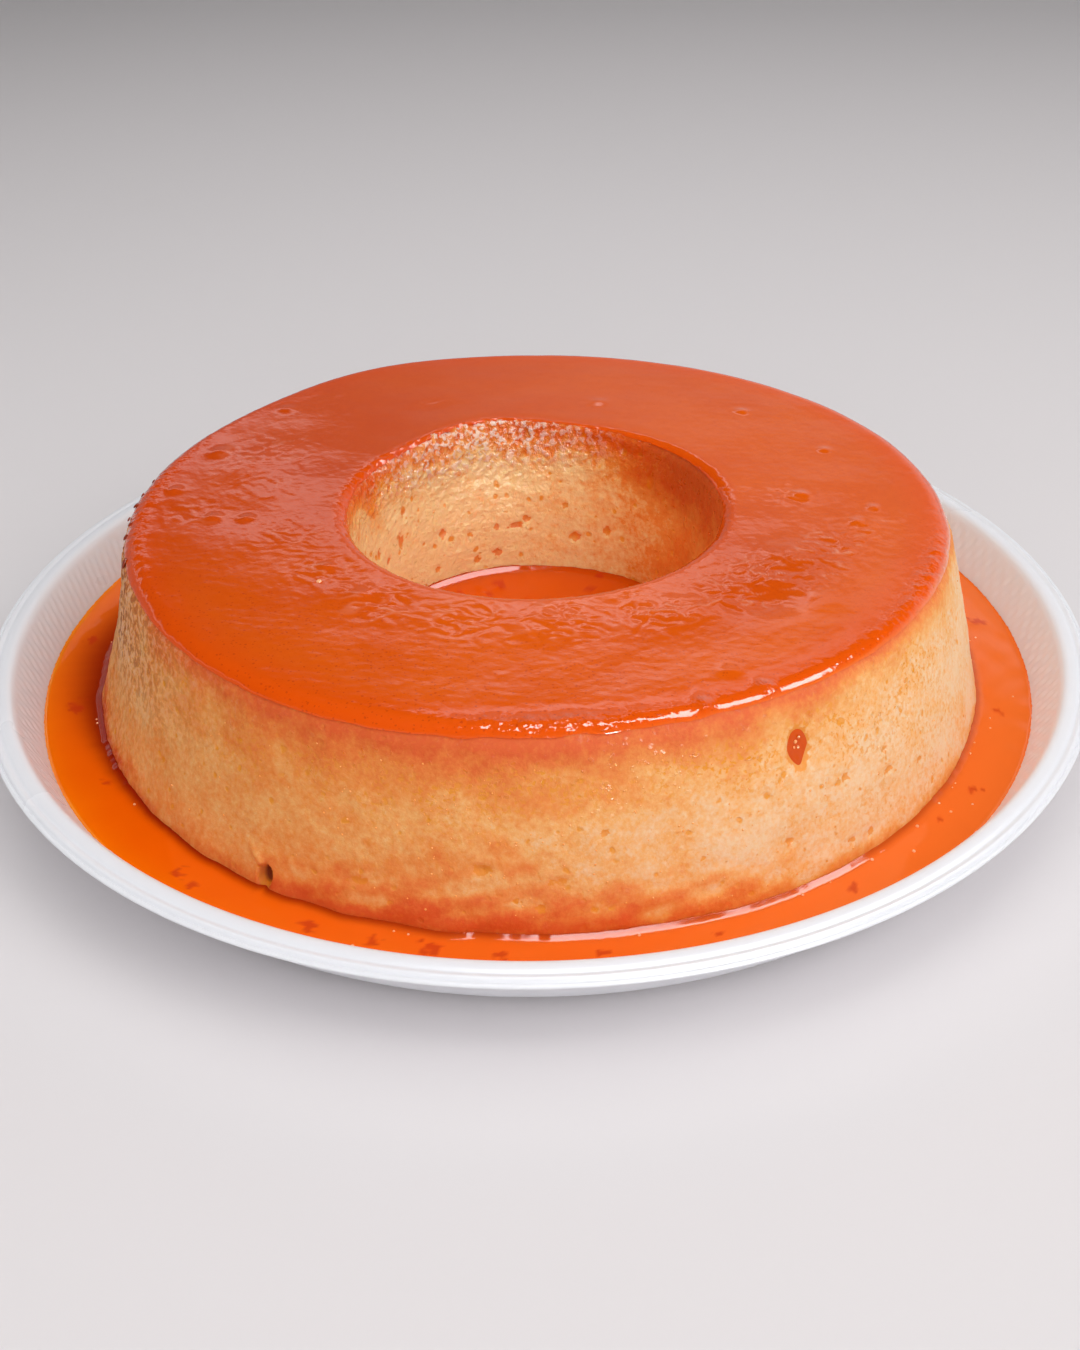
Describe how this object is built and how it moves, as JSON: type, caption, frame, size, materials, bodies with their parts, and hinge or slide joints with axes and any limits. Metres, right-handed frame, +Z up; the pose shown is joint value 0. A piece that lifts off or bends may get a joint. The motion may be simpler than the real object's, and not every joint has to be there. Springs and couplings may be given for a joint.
{
  "type": "ring custard dessert on plate",
  "caption": "Ring of baked caramel custard turned out onto a deep round plate, standing in its own caramel sauce, with a straight hole down its middle.",
  "frame": {"origin": "on the plate's axis, in the plane its foot ring stands on", "axes": "+Z up along the axis of the plate and of the custard's hole, -Y towards the side that is seen from the front, +X to the right as seen from there"},
  "size_m": [0.26, 0.26, 0.0498],
  "materials": {
    "plate": "smooth moulded white plastic",
    "custard": "stands for moist baked custard, stained brown by caramel on top",
    "caramel": "stands for thin wet caramel sauce"
  },
  "bodies": {
    "root": {"plate": "plate", "custard_ring": "custard", "caramel_moat": "caramel", "caramel_well": "caramel"}
  },
  "joints": []
}
